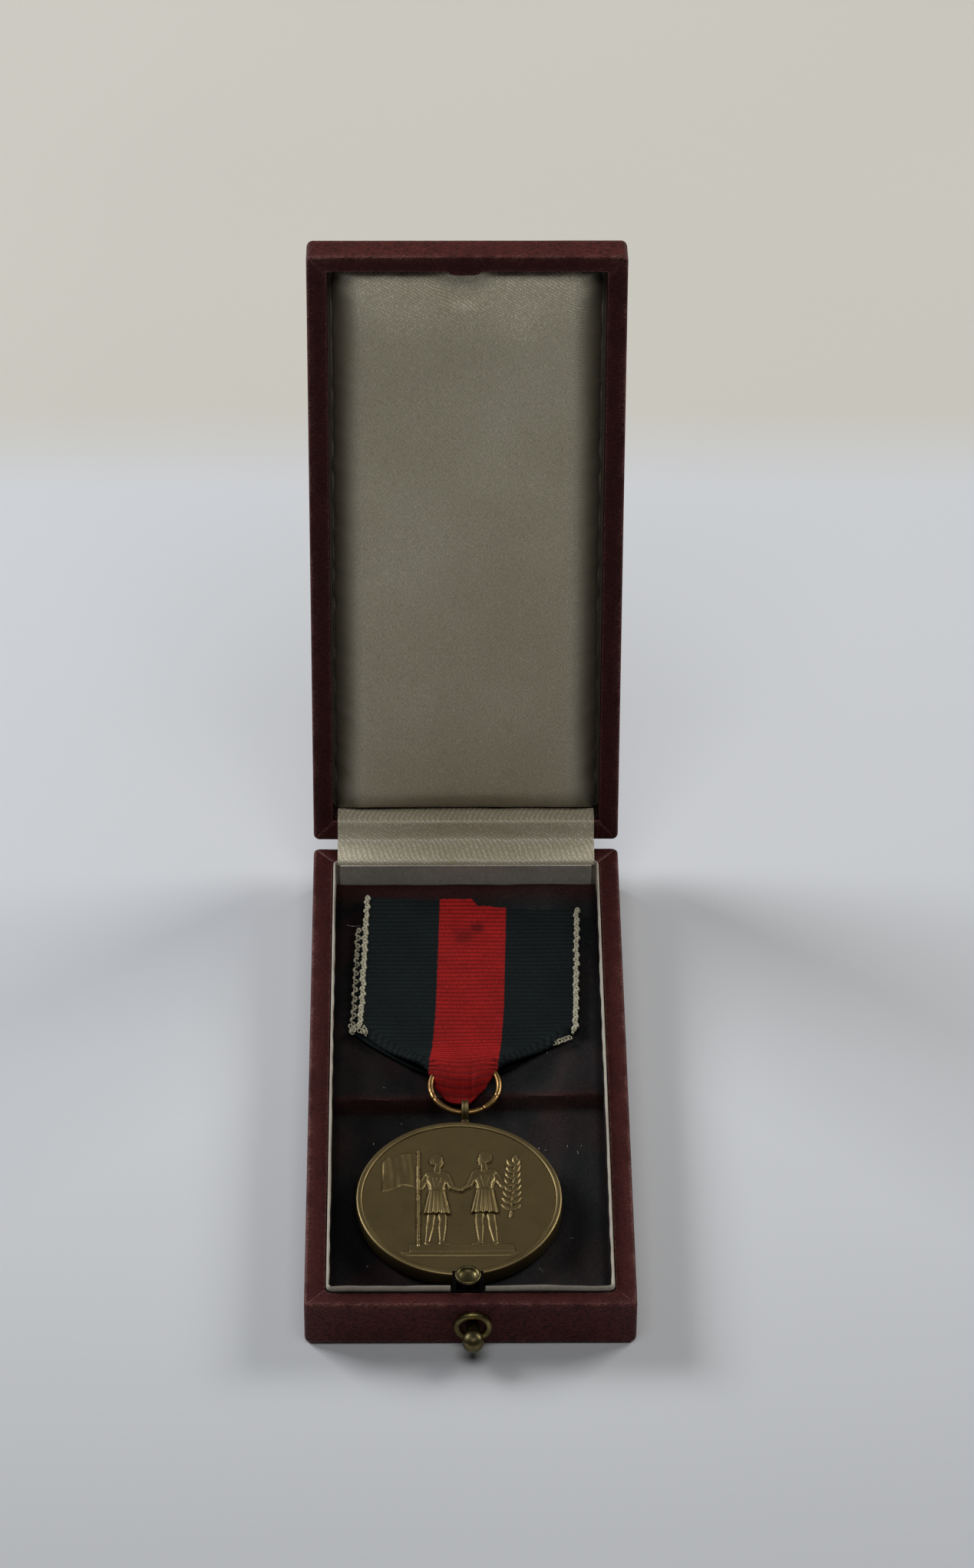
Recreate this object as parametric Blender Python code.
"""A ribboned service medal lying in its open presentation case.

The case is a shallow box in two halves, a base and a lid, that a strip of satin
and a leatherette spine hinge together at the back. A push button in the front
wall slides a latch head back, out of a keeper plate in the lid. The medal, its
jump ring and its folded ribbon lie loose on the velvet.

Frame: X to the right, Y to the back, Z up, origin under the middle of the base.
All sizes are in millimetres and are turned into metres as meshes are made.
"""

import math

import bmesh
import bpy
from mathutils import Matrix, Vector

MM = 0.001
GAP = 0.3  # clearance between neighbouring pieces

# The case
CASE_WIDTH = 52.1
CASE_LENGTH = 108.6
CASE_CORNER = 1.0
BASE_HEIGHT = 8.8
LID_DEPTH = 7.1
COVERING = 0.5  # leatherette with its glue and paper
BOTTOM_ROUND = 0.9
FRONT = -CASE_LENGTH / 2
BACK = CASE_LENGTH / 2
HALF_WIDTH = CASE_WIDTH / 2

# The card collar that stands up inside the base and guides the lid
LIP_TOP = 9.8
LIP_HALF_WIDTH = 22.5
LIP_FRONT = -51.3
LIP_BACK = 50.1
LIP_THICKNESS = 0.7
LIP_CORNER = 2.0

# The velvet bed, in two levels with a slightly skewed step
FLOOR_TOP = 1.3
RECESS_TOP = 2.9
PLATFORM_TOP = 5.1
STEP_LEFT = -5.0
STEP_RIGHT = -3.6
LINING_THICKNESS = 0.3
BED_CHAMFER = 0.9

# The lid and its fabric hinge
OPEN_ANGLE = 101.0
HINGE_Y = 54.96
HINGE_Z = 9.62
RIM_GAP = 0.3
LID_RIM = BASE_HEIGHT + RIM_GAP
LID_TOP = LID_RIM + LID_DEPTH
LID_BOARD = 1.0
LID_INNER_HALF_WIDTH = LIP_HALF_WIDTH + GAP
LID_INNER_FRONT = LIP_FRONT - GAP
LID_INNER_BACK = LIP_BACK + 0.5
CUSHION_EDGE = 12.9
CUSHION_CROWN = 11.0
HINGE_WIDTH = 43.8

# The push-button lock
BUTTON_X = 0.35
BUTTON_Z = 4.4
BALL_RADIUS = 1.75
BALL_Y = -57.9
NECK_RADIUS = 1.1
ESCUTCHEON_RADIUS = 3.05
ESCUTCHEON_HOLE = 2.05
BARREL_RADIUS = 2.45
BARREL_BACK = -51.9
SLIDE_BOTTOM = 2.9
SLIDE_TOP = 6.9
LOCK_BORE = 2.75
HEAD_X = -0.4
HEAD_Y = -49.5
HEAD_RADIUS = 2.15
HEAD_BOTTOM = 9.95
HEAD_TOP = 10.75
STEM_RADIUS = 0.75
NOTCH_HALF_WIDTH = 2.75
KEEPER_TOP = 11.3
PIN_SPREAD = 4.2
PIN_Z = 10.5

# The medal, tilted because its ring end rests on the ribbon
DISC_RADIUS = 16.5
DISC_THICKNESS = 2.8
DISC_RIM = 1.15
DISC_FIELD_DEPTH = 0.35
DISC_X = -1.66
DISC_Y = -28.5
DISC_FACE_Z = 6.9
DISC_TILT = 3.0
EYE_DISTANCE = DISC_RADIUS + 3.24
EYE_RADIUS = 2.25
EYE_HOLE = 1.25
EYE_THICKNESS = 1.3

# The jump ring
RING_RADIUS = 5.6
WIRE_RADIUS = 0.48
RING_X = -0.57
RING_LOW_Y = -8.7
RING_LOW_Z = 6.53
RING_TILT = 7.0
RING_JOINT_ANGLE = -59.0
RING_JOINT_GAP = 3.0

# The ribbon, a strip folded into a point that passes through the ring
RIBBON_WIDTH = 35.2
RIBBON_TURN = -2.6
RIBBON_THICKNESS = 0.5
RIBBON_TOP_LEFT = 43.7
RIBBON_TOP_RIGHT = 41.0
RIBBON_FOLD_Y = 11.6
BACK_PANEL_SHIFT = -1.3
FRONT_PANEL_Z = 6.1
BACK_PANEL_Z = 5.4
LOOP_TIP_Y = -5.2
LOOP_TIP_WIDTH = 3.4

MATERIALS = {
    "leatherette": ((0.030, 0.011, 0.010), 0.55, 0.0),
    "lining_card": ((0.45, 0.42, 0.34), 0.8, 0.0),
    "ribbed_cloth": ((0.38, 0.37, 0.33), 0.85, 0.0),
    "satin": ((0.42, 0.38, 0.27), 0.45, 0.0),
    "velvet": ((0.012, 0.011, 0.011), 0.95, 0.0),
    "wood": ((0.38, 0.25, 0.13), 0.7, 0.0),
    "card": ((0.33, 0.27, 0.18), 0.9, 0.0),
    "brass": ((0.45, 0.33, 0.10), 0.35, 1.0),
    "spring_steel": ((0.40, 0.40, 0.42), 0.3, 1.0),
    "bronze": ((0.18, 0.13, 0.06), 0.42, 1.0),
    "gilt_wire": ((0.55, 0.28, 0.09), 0.3, 1.0),
    "ribbon": ((0.17, 0.009, 0.009), 0.8, 0.0),
}


def clear_scene():
    for obj in list(bpy.data.objects):
        bpy.data.objects.remove(obj)


def material(name):
    found = bpy.data.materials.get(name)
    if found:
        return found
    colour, roughness, metallic = MATERIALS[name]
    made = bpy.data.materials.new(name)
    made.use_nodes = True
    shader = made.node_tree.nodes["Principled BSDF"]
    shader.inputs["Base Color"].default_value = (*colour, 1.0)
    shader.inputs["Roughness"].default_value = roughness
    shader.inputs["Metallic"].default_value = metallic
    made.diffuse_color = (*colour, 1.0)
    return made


def add_object(name, bm, finish, parent=None, smooth=True):
    """Turns a bmesh in millimetres into a node, with its mesh in its parent's frame."""
    bmesh.ops.recalc_face_normals(bm, faces=bm.faces)
    bm.transform(Matrix.Scale(MM, 4))
    mesh = bpy.data.meshes.new(name)
    bm.to_mesh(mesh)
    bm.free()
    obj = bpy.data.objects.new(name, mesh)
    bpy.context.scene.collection.objects.link(obj)
    mesh.materials.append(material(finish))
    if smooth:
        mesh.shade_smooth()
        mesh.set_sharp_from_angle(angle=math.radians(35))
    if parent:
        obj.parent = parent
    return obj


def add_empty(name, y, z, x=0.0, turn=0.0, axis="X", parent=None):
    """A frame for a moving body, with its origin on the joint's axis."""
    empty = bpy.data.objects.new(name, None)
    bpy.context.scene.collection.objects.link(empty)
    place = Matrix.Translation(Vector((x, y, z)) * MM)
    empty.matrix_world = place @ Matrix.Rotation(math.radians(turn), 4, axis)
    if parent:
        empty.parent = parent
    return empty


def add_cutter(name, bm):
    cutter = add_object(name, bm, "wood", smooth=False)
    cutter.hide_render = True
    cutter.display_type = "WIRE"
    return cutter


def cut(obj, cutter):
    modifier = obj.modifiers.new("cut_" + cutter.name, "BOOLEAN")
    modifier.operation = "DIFFERENCE"
    modifier.solver = "EXACT"
    modifier.object = cutter


def rounded_rectangle(x0, x1, y0, y1, radius, steps=3):
    """The outline of a box with round corners, counter-clockwise."""
    corners = (
        (x1 - radius, y1 - radius, 0),
        (x0 + radius, y1 - radius, 90),
        (x0 + radius, y0 + radius, 180),
        (x1 - radius, y0 + radius, 270),
    )
    points = []
    for cx, cy, start in corners:
        for i in range(steps + 1):
            angle = math.radians(start + 90 * i / steps)
            points.append((cx + radius * math.cos(angle), cy + radius * math.sin(angle)))
    return points


def case_outline(inset, radius=CASE_CORNER):
    return rounded_rectangle(
        -HALF_WIDTH + inset,
        HALF_WIDTH - inset,
        FRONT + inset,
        BACK - inset,
        max(radius - inset, 0.15),
    )


def loft(loops, closed=False):
    """Joins equal loops of (x, y, z) points into one skin, capped unless it closes on itself."""
    bm = bmesh.new()
    rows = [[bm.verts.new(point) for point in loop] for loop in loops]
    pairs = list(zip(rows, rows[1:]))
    if closed:
        pairs.append((rows[-1], rows[0]))
    for low, high in pairs:
        for i in range(len(low)):
            j = (i + 1) % len(low)
            bm.faces.new((low[i], low[j], high[j], high[i]))
    if not closed:
        bm.faces.new(rows[0])
        bm.faces.new(rows[-1])
    return bm


def at_height(outline, z):
    return [(x, y, z) for x, y in outline]


def slab(outline, z0, z1):
    return loft([at_height(outline, z0), at_height(outline, z1)])


def frame_ring(outer, inner, z0, z1):
    """A rectangular ring between two outlines with as many points each."""
    loops = [at_height(outer, z0), at_height(outer, z1), at_height(inner, z1)]
    return loft(loops + [at_height(inner, z0)], closed=True)


def box(x0, x1, y0, y1, z0, z1):
    return slab([(x0, y0), (x1, y0), (x1, y1), (x0, y1)], z0, z1)


def turned(profile, centre, axis="Z", steps=24, closed=False):
    """Revolves (radius, height) points about an axis through centre. Ends on the axis are closed."""
    bm = bmesh.new()
    rows = []
    for radius, height in profile:
        if radius < 1e-6:
            rows.append([bm.verts.new((0, 0, height))])
            continue
        row = []
        for i in range(steps):
            angle = 2 * math.pi * i / steps
            row.append(bm.verts.new((radius * math.cos(angle), radius * math.sin(angle), height)))
        rows.append(row)
    pairs = list(zip(rows, rows[1:]))
    if closed:
        pairs.append((rows[-1], rows[0]))
    for low, high in pairs:
        for i in range(steps):
            j = (i + 1) % steps
            ring = [low[i % len(low)], low[j % len(low)], high[j % len(high)], high[i % len(high)]]
            bm.faces.new(list(dict.fromkeys(ring)))
    turn = {"Z": Matrix.Identity(4), "Y": Matrix.Rotation(math.radians(90), 4, "X")}
    turn["X"] = Matrix.Rotation(math.radians(90), 4, "Y")
    bm.transform(Matrix.Translation(centre) @ turn[axis])
    return bm


def rod(radius, y0, y1, x, z, steps=24):
    """A cylinder along Y."""
    outline = [
        (x + radius * math.cos(2 * math.pi * i / steps), z + radius * math.sin(2 * math.pi * i / steps))
        for i in range(steps)
    ]
    return loft([[(px, y0, pz) for px, pz in outline], [(px, y1, pz) for px, pz in outline]])


def band(path, half_thickness, x0, x1):
    """A strip of cloth that follows a path in the YZ plane and is extruded along X."""
    left, right = [], []
    for i, point in enumerate(path):
        before = Vector(path[max(i - 1, 0)])
        after = Vector(path[min(i + 1, len(path) - 1)])
        along = (after - before).normalized()
        side = Vector((-along.y, along.x)) * half_thickness
        left.append(Vector(point) + side)
        right.append(Vector(point) - side)
    outline = left + right[::-1]
    bm = bmesh.new()
    near = [bm.verts.new((x0, p.x, p.y)) for p in outline]
    far = [bm.verts.new((x1, p.x, p.y)) for p in outline]
    count = len(outline)
    for i in range(count):
        j = (i + 1) % count
        bm.faces.new((near[i], near[j], far[j], far[i]))
    # each end is a ladder of quads between the two sides, because the outline bends
    for row in (near, far):
        for i in range(len(path) - 1):
            bm.faces.new((row[i], row[i + 1], row[count - 2 - i], row[count - 1 - i]))
    return bm


def opened(y, z):
    """Where a point of the closed lid stands when the lid is open, as (y, z)."""
    angle = math.radians(OPEN_ANGLE)
    dy = y - HINGE_Y
    dz = z - HINGE_Z
    turned_y = HINGE_Y + dy * math.cos(angle) + dz * math.sin(angle)
    turned_z = HINGE_Z - dy * math.sin(angle) + dz * math.cos(angle)
    return (turned_y, turned_z)


def make_base():
    """The base: a leatherette skin over a wooden frame and floor, with a collar and lining."""
    rim_hole = rounded_rectangle(
        -LIP_HALF_WIDTH - GAP,
        LIP_HALF_WIDTH + GAP,
        LIP_FRONT - GAP,
        LIP_BACK + GAP,
        LIP_CORNER,
    )
    skin = loft([
        at_height(case_outline(BOTTOM_ROUND), 0),
        at_height(case_outline(BOTTOM_ROUND * 0.3), BOTTOM_ROUND * 0.3),
        at_height(case_outline(0), BOTTOM_ROUND),
        at_height(case_outline(0), BASE_HEIGHT - 0.3),
        at_height(case_outline(0.3), BASE_HEIGHT),
        at_height(rim_hole, BASE_HEIGHT),
        at_height(rim_hole, BASE_HEIGHT - COVERING),
        at_height(case_outline(COVERING), BASE_HEIGHT - COVERING),
        at_height(case_outline(COVERING), COVERING + 0.6),
        at_height(case_outline(COVERING + 0.6), COVERING),
    ])
    covering = add_object("base_covering", skin, "leatherette")
    board_inset = COVERING + GAP + 0.4
    add_object("base_floor_board", slab(case_outline(board_inset), COVERING + GAP, FLOOR_TOP), "card")
    wood = frame_ring(
        case_outline(COVERING + GAP),
        rim_hole,
        FLOOR_TOP + GAP,
        BASE_HEIGHT - COVERING - GAP,
    )
    frame = add_object("base_frame", wood, "wood", smooth=False)
    bore = add_cutter("lock_bore", rod(LOCK_BORE, FRONT - 2, LIP_FRONT - 0.1, BUTTON_X, BUTTON_Z))
    cut(covering, bore)
    cut(frame, bore)

    outer = rounded_rectangle(-LIP_HALF_WIDTH, LIP_HALF_WIDTH, LIP_FRONT, LIP_BACK, LIP_CORNER, 4)
    inner = rounded_rectangle(
        -LIP_HALF_WIDTH + LIP_THICKNESS,
        LIP_HALF_WIDTH - LIP_THICKNESS,
        LIP_FRONT + LIP_THICKNESS,
        LIP_BACK - LIP_THICKNESS,
        LIP_CORNER - LIP_THICKNESS,
        4,
    )
    collar = add_object(
        "lip_collar", frame_ring(outer, inner, FLOOR_TOP + GAP, LIP_TOP), "lining_card"
    )
    notch = box(
        HEAD_X - NOTCH_HALF_WIDTH,
        HEAD_X + NOTCH_HALF_WIDTH,
        LIP_FRONT - 1,
        LIP_FRONT + 1.5,
        FLOOR_TOP + GAP + 0.4,
        LIP_TOP + 1,
    )
    cut(collar, add_cutter("lip_notch", notch))
    lining_front = LIP_BACK - LIP_THICKNESS - GAP - LINING_THICKNESS
    add_object(
        "back_lining",
        box(-20.6, 20.6, lining_front, lining_front + LINING_THICKNESS, PLATFORM_TOP + GAP, 9.4),
        "ribbed_cloth",
        smooth=False,
    )


def make_bed():
    """The velvet bed: a raised platform for the ribbon and a recess for the medal."""
    side = LIP_HALF_WIDTH - LIP_THICKNESS - GAP
    back = LIP_BACK - LIP_THICKNESS - LINING_THICKNESS - 2 * GAP
    front = LIP_FRONT + LIP_THICKNESS + GAP
    bottom = FLOOR_TOP + GAP
    platform = slab(
        [
            (-side, STEP_LEFT),
            (side, STEP_RIGHT),
            (side, back - BED_CHAMFER),
            (side - BED_CHAMFER, back),
            (-side + BED_CHAMFER, back),
            (-side, back - BED_CHAMFER),
        ],
        bottom,
        PLATFORM_TOP,
    )
    add_object("velvet_platform", platform, "velvet", smooth=False)
    # the recess goes round the lock housing
    left = HEAD_X - NOTCH_HALF_WIDTH - 0.1
    right = HEAD_X + NOTCH_HALF_WIDTH + 0.1
    behind = HEAD_Y + 3.2
    outline = [
        (-side, front + BED_CHAMFER),
        (-side + BED_CHAMFER, front),
        (left, front),
        (left, behind),
        (right, behind),
        (right, front),
        (side - BED_CHAMFER, front),
        (side, front + BED_CHAMFER),
        (side, STEP_RIGHT - GAP),
        (-side, STEP_LEFT - GAP),
    ]
    add_object("velvet_recess", slab(outline, bottom, RECESS_TOP), "velvet", smooth=False)


def make_lock():
    """The push-button lock in the front wall: a bush, a housing, a leaf spring and the slide."""
    flange_back = FRONT - GAP
    profile = [
        (ESCUTCHEON_HOLE, -BARREL_BACK),
        (BARREL_RADIUS, -BARREL_BACK),
        (BARREL_RADIUS, -flange_back),
        (ESCUTCHEON_RADIUS, -flange_back),
        (ESCUTCHEON_RADIUS, -flange_back + 0.25),
        (ESCUTCHEON_RADIUS - 0.35, -flange_back + 0.6),
        (ESCUTCHEON_HOLE + 0.3, -flange_back + 0.65),
        (ESCUTCHEON_HOLE, -flange_back + 0.45),
    ]
    add_object(
        "escutcheon", turned(profile, (BUTTON_X, 0, BUTTON_Z), "Y", 28, closed=True), "brass"
    )
    x0 = HEAD_X - NOTCH_HALF_WIDTH + GAP
    x1 = HEAD_X + NOTCH_HALF_WIDTH - GAP
    front = LIP_FRONT + 0.1
    behind = HEAD_Y + 2.9
    bottom = FLOOR_TOP + GAP + 0.7
    folded = box(x0, x1, front, behind, bottom, BASE_HEIGHT - 0.2)
    housing = add_object("latch_housing", folded, "spring_steel", None, False)
    pocket = box(x0 + 0.6, x1 - 0.6, front + 0.4, behind - 0.6, bottom + 0.4, BASE_HEIGHT + 1)
    cut(housing, add_cutter("housing_pocket", pocket))
    bore = rod(NECK_RADIUS + 0.35, front - 1, front + 1, BUTTON_X, BUTTON_Z)
    cut(housing, add_cutter("housing_bore", bore))
    # the leaf spring bows forward from the housing's back wall to the slide
    leaf = []
    for i in range(9):
        across = -1 + 2 * i / 8
        leaf.append((behind - 1.02 - 0.9 * math.cos(across * math.pi / 2), across * 1.55))
    spring = band([(y, x) for y, x in leaf], 0.12, -1.3, 1.3)
    lie_down = Matrix(((0, 0, 1, HEAD_X), (0, 1, 0, 0), (1, 0, 0, BUTTON_Z), (0, 0, 0, 1)))
    spring.transform(lie_down)
    add_object("latch_spring", spring, "spring_steel")


def make_latch():
    """What moves with the button: the button, the slide behind it, and the head on its stem."""
    latch = add_empty("latch_body", HEAD_Y, BUTTON_Z)
    inverse = latch.matrix_world.inverted()
    slide_front = HEAD_Y - 0.8
    slide_back = HEAD_Y + 0.6
    profile = [(0, -(slide_front - GAP)), (NECK_RADIUS, -(slide_front - GAP))]
    for i in range(9):
        angle = math.radians(-51 + 141 * i / 8)
        profile.append((BALL_RADIUS * math.cos(angle), -BALL_Y + BALL_RADIUS * math.sin(angle)))
    profile[-1] = (0, -BALL_Y + BALL_RADIUS)
    pieces = [
        add_object("push_button", turned(profile, (BUTTON_X, 0, BUTTON_Z), "Y", 20), "brass"),
        add_object(
            "latch_slide",
            box(HEAD_X - 1.45, HEAD_X + 1.45, slide_front, slide_back, SLIDE_BOTTOM, SLIDE_TOP),
            "brass",
            None,
            False,
        ),
    ]
    head = [
        (0, SLIDE_TOP + GAP),
        (STEM_RADIUS, SLIDE_TOP + GAP),
        (STEM_RADIUS, HEAD_BOTTOM),
        (HEAD_RADIUS - 0.25, HEAD_BOTTOM),
        (HEAD_RADIUS, HEAD_BOTTOM + 0.3),
        (HEAD_RADIUS - 0.1, HEAD_TOP - 0.1),
        (HEAD_RADIUS - 0.35, HEAD_TOP),
        (HEAD_RADIUS - 0.7, HEAD_TOP - 0.12),
        (HEAD_RADIUS - 0.95, HEAD_TOP - 0.45),
        (0, HEAD_TOP - 0.5),
    ]
    pieces.append(add_object("latch_head", turned(head, (HEAD_X, HEAD_Y, 0), "Z", 24), "brass"))
    for piece in pieces:
        piece.parent = latch
        piece.matrix_parent_inverse = inverse


def make_lid():
    """The lid, modelled shut and then turned open about the hinge."""
    lid = add_empty("lid_body", HINGE_Y, HINGE_Z)
    inverse = lid.matrix_world.inverted()
    mouth = rounded_rectangle(
        -LID_INNER_HALF_WIDTH, LID_INNER_HALF_WIDTH, LID_INNER_FRONT, LID_INNER_BACK, 1.2
    )
    skin = loft([
        at_height(case_outline(BOTTOM_ROUND), LID_TOP),
        at_height(case_outline(BOTTOM_ROUND * 0.3), LID_TOP - BOTTOM_ROUND * 0.3),
        at_height(case_outline(0), LID_TOP - BOTTOM_ROUND),
        at_height(case_outline(0), LID_RIM + 0.3),
        at_height(case_outline(0.3), LID_RIM),
        at_height(mouth, LID_RIM),
        at_height(mouth, LID_RIM + COVERING),
        at_height(case_outline(COVERING), LID_RIM + COVERING),
        at_height(case_outline(COVERING), LID_TOP - COVERING - 0.6),
        at_height(case_outline(COVERING + 0.6), LID_TOP - COVERING),
    ])
    board_top = LID_TOP - COVERING - GAP
    board_bottom = board_top - LID_BOARD
    wood = frame_ring(
        case_outline(COVERING + GAP), mouth, LID_RIM + COVERING + GAP, board_bottom - GAP
    )
    covering = add_object("lid_covering", skin, "leatherette")
    frame = add_object("lid_frame", wood, "wood", smooth=False)
    pieces = [
        covering,
        frame,
        add_object(
            "lid_board", slab(case_outline(COVERING + GAP + 0.4), board_bottom, board_top), "card"
        ),
    ]
    pocket = add_cutter(
        "keeper_pocket",
        box(HEAD_X - 5.4, HEAD_X + 5.4, LID_INNER_FRONT - 1.0, LID_INNER_FRONT + 1, LID_RIM - 1, 11.6),
    )
    for obj in (covering, frame):
        cut(obj, pocket)
    pieces += make_cushion(board_bottom) + make_keeper(frame) + [pocket]
    for piece in pieces:
        piece.parent = lid
        piece.matrix_parent_inverse = inverse
    lid.rotation_euler = (math.radians(-OPEN_ANGLE), 0, 0)
    return lid


def make_cushion(board_bottom):
    """The crowned satin pad and the card that it is glued to."""
    half = LID_INNER_HALF_WIDTH - 0.5
    front = LID_INNER_FRONT + 0.6
    back = LID_INNER_BACK - 1.0
    card = rounded_rectangle(-half, half, front, back, 1.2)
    card_bottom = board_bottom - GAP - 0.6
    pieces = [add_object("cushion_card", slab(card, card_bottom, card_bottom + 0.6), "card")]
    top = card_bottom - GAP
    loops = [at_height(card, top)]
    for inset, z in ((0.0, CUSHION_EDGE + 0.15), (0.5, CUSHION_EDGE - 0.25)):
        loops.append(at_height(shrunk(half, front, back, inset), z))
    for i in range(1, 5):
        share = i / 4
        inset = 0.5 + 13 * share**1.3
        z = CUSHION_EDGE - 0.25 - (CUSHION_EDGE - 0.25 - CUSHION_CROWN) * math.sin(share * math.pi / 2)
        loops.append(at_height(shrunk(half, front, back, inset), z))
    pieces.append(add_object("lid_cushion", loft(loops), "satin"))
    return pieces


def shrunk(half, front, back, inset):
    return rounded_rectangle(
        -half + inset, half - inset, front + inset, back - inset, 1.2 + 0.3 * inset
    )


def make_keeper(frame):
    """The brass keeper in the lid's front wall, with the two pins that hold it."""
    face = LID_INNER_FRONT - 0.35
    bm = bmesh.new()
    outline = [
        (face - 0.35, LID_RIM + 0.2),
        (face + 0.95, LID_RIM + 0.2),
        (face + 0.95, LID_RIM + 0.55),
        (face, LID_RIM + 0.55),
        (face, KEEPER_TOP),
        (face - 0.35, KEEPER_TOP),
    ]
    left = [bm.verts.new((HEAD_X - 5.0, y, z)) for y, z in outline]
    right = [bm.verts.new((HEAD_X + 5.0, y, z)) for y, z in outline]
    for i in range(len(outline)):
        j = (i + 1) % len(outline)
        bm.faces.new((left[i], left[j], right[j], right[i]))
    bm.faces.new(left)
    bm.faces.new(right)
    plate = add_object("keeper_plate", bm, "brass", smooth=False)
    # the lip is narrower than the plate, so that it passes through the notch in the collar
    trims = []
    for side in (-1, 1):
        near = HEAD_X + side * (NOTCH_HALF_WIDTH - 0.25)
        far = HEAD_X + side * 6
        trim = box(min(near, far), max(near, far), face, face + 2, LID_RIM - 1, LID_RIM + 1)
        cutter = add_cutter("keeper_trim" + ("_left" if side < 0 else "_right"), trim)
        cut(plate, cutter)
        trims.append(cutter)
    pieces = [plate]
    for name, side in (("keeper_pin_left", -1), ("keeper_pin_right", 1)):
        x = HEAD_X + side * PIN_SPREAD
        profile = [
            (0, -(face + GAP + 0.2)),
            (0.5, -(face + GAP + 0.15)),
            (0.62, -(face + GAP)),
            (0.25, -(face + GAP)),
            (0.25, -(face - 1.1)),
            (0, -(face - 1.3)),
        ]
        pieces.append(add_object(name, turned(profile, (x, 0, PIN_Z), "Y", 12), "brass"))
        hole = add_cutter("pin_hole" + name[10:], rod(0.5, face - 1.7, face + 1, x, PIN_Z, 12))
        cut(plate, hole)
        cut(frame, hole)
        trims.append(hole)
    return pieces + trims


def make_hinge():
    """The satin strip inside and the leatherette spine outside, both glued to base and lid."""
    half = HINGE_WIDTH / 2
    rim = LID_RIM - GAP - 0.15
    wall = LID_INNER_BACK - GAP - 0.15
    satin = [
        opened(wall, 12.3),
        opened(wall, 9.6),
        opened(wall + 0.1, rim + 0.15),
        opened(wall + 0.3, rim),
        opened(53.4, rim),
        (53.2, 10.32),
        (LIP_BACK + 0.3, LIP_TOP + GAP + 0.2),
        (LIP_BACK - LIP_THICKNESS + 0.1, LIP_TOP + GAP + 0.15),
    ]
    add_object("hinge_satin", band(satin, 0.12, -half, half), "satin")
    out = GAP + 0.2
    spine = [
        (BACK + out, 1.2),
        (BACK + out, 8.4),
        (BACK + out + 0.08, 8.95),
        (BACK + out + 0.35, 9.3),
        (BACK + out + 0.85, 9.42),
        opened(BACK + out, LID_RIM + 1.8),
        opened(BACK + out, LID_TOP - 1.2),
    ]
    add_object("hinge_spine", band(spine, 0.2, -half, half), "leatherette")


def make_medal():
    """The struck disc and the eyelet soldered to its edge."""
    tilt = Matrix.Translation((DISC_X, DISC_Y, DISC_FACE_Z)) @ Matrix.Rotation(
        math.radians(DISC_TILT), 4, "X"
    )
    eye_height = -DISC_THICKNESS / 2
    eye = tilt @ Vector((RING_X - DISC_X, EYE_DISTANCE, eye_height))
    medal = add_empty("medal_body", eye.y, eye.z, RING_X)
    inverse = medal.matrix_world.inverted()
    half = DISC_THICKNESS / 2
    field = half - DISC_FIELD_DEPTH
    inside = DISC_RADIUS - DISC_RIM
    profile = [
        (0, -field),
        (inside - 0.3, -field),
        (inside, -half),
        (DISC_RADIUS - 0.2, -half),
        (DISC_RADIUS, -half + 0.2),
        (DISC_RADIUS, half - 0.2),
        (DISC_RADIUS - 0.2, half),
        (inside, half),
        (inside - 0.3, field),
        (0, field),
    ]
    disc = turned(profile, (0, 0, -half), "Z", 64)
    disc.transform(tilt)
    pieces = [add_object("medal_disc", disc, "bronze")]

    loop = [
        (EYE_HOLE, -EYE_THICKNESS / 2 + 0.15),
        (EYE_HOLE + 0.2, -EYE_THICKNESS / 2),
        (EYE_RADIUS - 0.2, -EYE_THICKNESS / 2),
        (EYE_RADIUS, -EYE_THICKNESS / 2 + 0.2),
        (EYE_RADIUS, EYE_THICKNESS / 2 - 0.2),
        (EYE_RADIUS - 0.2, EYE_THICKNESS / 2),
        (EYE_HOLE + 0.2, EYE_THICKNESS / 2),
        (EYE_HOLE, EYE_THICKNESS / 2 - 0.15),
    ]
    ring = turned(loop, (RING_X - DISC_X, EYE_DISTANCE, eye_height), "X", 24, closed=True)
    ring.transform(tilt)
    eyelet = add_object("suspension_eyelet", ring, "bronze")
    foot_start = DISC_RADIUS + GAP
    foot_end = EYE_DISTANCE - EYE_HOLE - 0.35
    sections = ((foot_start, 1.7, 1.05), (foot_start + 0.5, 0.95, 0.95), (foot_end, 0.5, 0.85))
    loops = []
    for y, half_x, half_z in sections:
        corner = ((-1, -1), (1, -1), (1, 1), (-1, 1))
        loops.append(
            [(RING_X - DISC_X + sx * half_x, y, eye_height + sz * half_z) for sx, sz in corner]
        )
    foot = loft(loops)
    foot.transform(tilt)
    foot_cutter = add_cutter("eyelet_foot", foot)
    union = eyelet.modifiers.new("foot", "BOOLEAN")
    union.operation = "UNION"
    union.solver = "EXACT"
    union.object = foot_cutter
    pieces.append(eyelet)
    for piece in pieces:
        piece.parent = medal
        piece.matrix_parent_inverse = inverse


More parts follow.
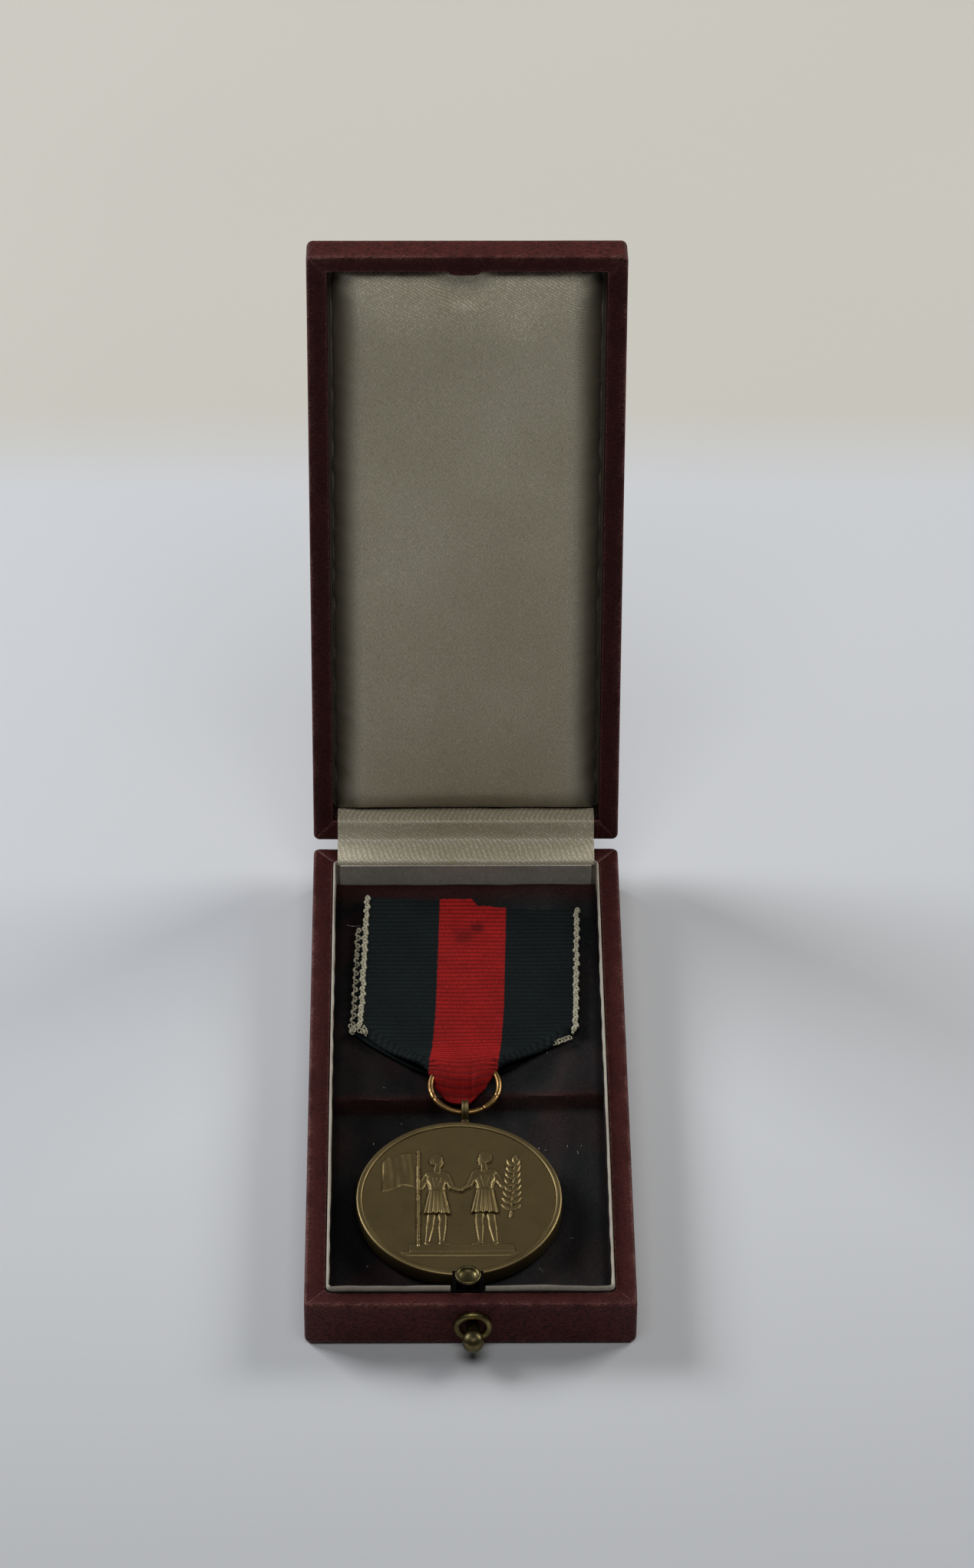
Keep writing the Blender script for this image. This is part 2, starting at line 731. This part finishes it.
def make_ring():
    """The jump ring: a wire bent round, its ends not quite meeting."""
    tilt = math.radians(RING_TILT)
    centre = Vector(
        (RING_X, RING_LOW_Y + RING_RADIUS * math.cos(tilt), RING_LOW_Z + RING_RADIUS * math.sin(tilt))
    )
    across = Vector((1, 0, 0))
    along = Vector((0, math.cos(tilt), math.sin(tilt)))
    up = across.cross(along)
    loops = []
    steps = 44
    first = RING_JOINT_ANGLE + RING_JOINT_GAP / 2
    for i in range(steps + 1):
        angle = math.radians(first + (360 - RING_JOINT_GAP) * i / steps)
        out = across * math.cos(angle) + along * math.sin(angle)
        loop = []
        for k in range(8):
            turn = 2 * math.pi * k / 8
            outwards = out * (RING_RADIUS + WIRE_RADIUS * math.cos(turn))
            loop.append(centre + outwards + up * (WIRE_RADIUS * math.sin(turn)))
        loops.append(loop)
    top = centre + along * RING_RADIUS
    ring = add_empty("ring_body", top.y, top.z, RING_X)
    piece = add_object("jump_ring", loft(loops), "gilt_wire")
    piece.parent = ring
    piece.matrix_parent_inverse = ring.matrix_world.inverted()


def make_ribbon():
    """The ribbon's front and back panels, and the folded point between them that holds the ring."""
    turn = Matrix.Rotation(math.radians(RIBBON_TURN), 4, "Z")
    half = RIBBON_WIDTH / 2
    lower = RIBBON_FOLD_Y
    outline = [
        (-half, lower),
        (half, lower),
        (half, RIBBON_TOP_RIGHT),
        (1.5, RIBBON_TOP_RIGHT),
        (-half, RIBBON_TOP_LEFT),
    ]
    front = slab(outline, FRONT_PANEL_Z, FRONT_PANEL_Z + RIBBON_THICKNESS)
    front.transform(turn)
    add_object("ribbon_front_panel", front, "ribbon", smooth=False)
    back = slab(
        [(-half, lower), (half - 0.6, lower), (half - 0.6, 39.5), (-half, 36.5)],
        BACK_PANEL_Z,
        BACK_PANEL_Z + 0.4,
    )
    back.transform(Matrix.Translation((BACK_PANEL_SHIFT, 0, 0)) @ turn)
    add_object("ribbon_back_panel", back, "ribbon", smooth=False)
    point = ribbon_loop()
    point.transform(turn)
    add_object("ribbon_ring_loop", point, "ribbon")


def ribbon_loop():
    """The point: a tapering strip that runs over the ring's far side, down through it and back."""
    start = RIBBON_FOLD_Y - GAP - 0.1
    over = FRONT_PANEL_Z + 0.25
    under = BACK_PANEL_Z + 0.2
    path = [
        (start, over),
        (8.5, over + 0.5),
        (5.5, over + 1.7),
        (2.5, over + 2.5),
        (0.0, over + 2.2),
        (-2.6, over + 1.4),
        (-4.4, over + 0.4),
        (LOOP_TIP_Y, over - 0.6),
        (-4.5, under + 0.3),
        (-3.2, under + 0.35),
        (0.0, under + 0.3),
        (5.0, under + 0.15),
        (start, under),
    ]
    wide = RIBBON_WIDTH / 2
    loops = []
    for i, point in enumerate(path):
        before = Vector(path[max(i - 1, 0)])
        after = Vector(path[min(i + 1, len(path) - 1)])
        along = (after - before).normalized()
        side = Vector((-along.y, along.x)) * 0.22
        share = (start - point[0]) / (start - LOOP_TIP_Y)
        half = wide + (LOOP_TIP_WIDTH / 2 - wide) * min(share / 0.78, 1) ** 0.9
        half = max(half, LOOP_TIP_WIDTH / 2)
        middle = -0.2 - 0.8 * min(share / 0.6, 1)
        top = Vector(point) + side
        low = Vector(point) - side
        loops.append([
            (middle - half, top.x, top.y),
            (middle, top.x, top.y),
            (middle + half, top.x, top.y),
            (middle + half, low.x, low.y),
            (middle, low.x, low.y),
            (middle - half, low.x, low.y),
        ])
    return loft(loops)


def main():
    clear_scene()
    make_base()
    make_bed()
    make_lock()
    make_latch()
    make_lid()
    make_hinge()
    make_medal()
    make_ring()
    make_ribbon()


main()
